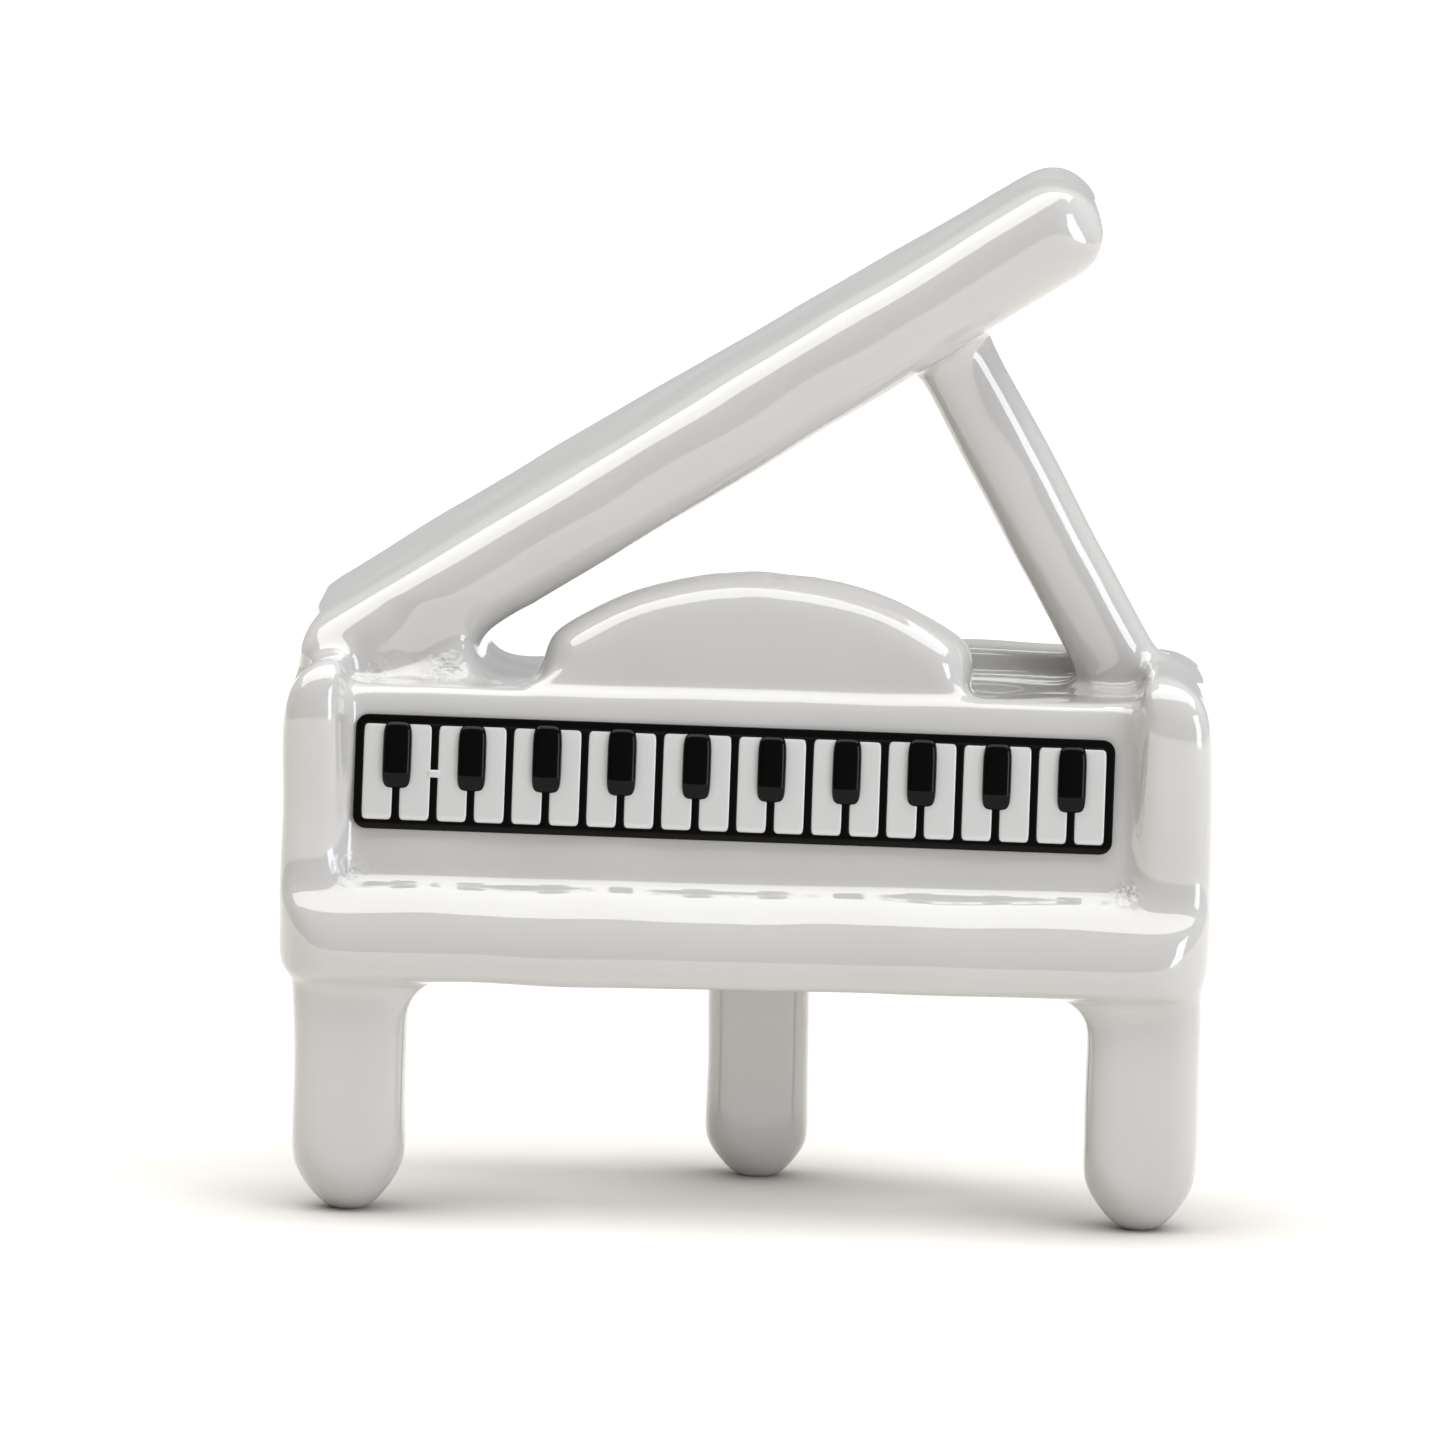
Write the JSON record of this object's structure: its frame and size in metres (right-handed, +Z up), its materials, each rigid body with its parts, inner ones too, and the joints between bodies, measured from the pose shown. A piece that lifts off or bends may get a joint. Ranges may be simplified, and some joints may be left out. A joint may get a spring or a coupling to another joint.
{
  "type": "miniature grand piano",
  "caption": "Glazed porcelain dolls-house grand piano on three legs, with a raised lid on a prop, a music desk and a printed keyboard with raised black keys.",
  "frame": {"origin": "middle of the outline at floor level", "axes": "+Z up, -Y towards the keyboard side, +X towards the treble end"},
  "size_m": [0.036, 0.018, 0.0405],
  "materials": {
    "porcelain_white": "gloss",
    "enamel_line_black": "gloss",
    "enamel_key_black": "gloss"
  },
  "bodies": {
    "root": {"case": "porcelain_white", "fallboard": "porcelain_white", "deck": "porcelain_white", "music_desk": "porcelain_white", "lid": "porcelain_white", "lid_prop": "porcelain_white", "leg_front_left": "porcelain_white", "leg_front_right": "porcelain_white", "leg_rear": "porcelain_white", "key_frame": "enamel_line_black", "white_key_01": "porcelain_white", "white_key_02": "porcelain_white", "white_key_03": "porcelain_white", "white_key_04": "porcelain_white", "white_key_05": "porcelain_white", "white_key_06": "porcelain_white", "white_key_07": "porcelain_white", "white_key_08": "porcelain_white", "white_key_09": "porcelain_white", "white_key_10": "porcelain_white", "white_key_11": "porcelain_white", "white_key_12": "porcelain_white", "white_key_13": "porcelain_white", "white_key_14": "porcelain_white", "white_key_15": "porcelain_white", "white_key_16": "porcelain_white", "white_key_17": "porcelain_white", "white_key_18": "porcelain_white", "white_key_19": "porcelain_white", "white_key_20": "porcelain_white", "black_key_01": "enamel_key_black", "black_key_02": "enamel_key_black", "black_key_03": "enamel_key_black", "black_key_04": "enamel_key_black", "black_key_05": "enamel_key_black", "black_key_06": "enamel_key_black", "black_key_07": "enamel_key_black", "black_key_08": "enamel_key_black", "black_key_09": "enamel_key_black", "black_key_10": "enamel_key_black"}
  },
  "joints": []
}
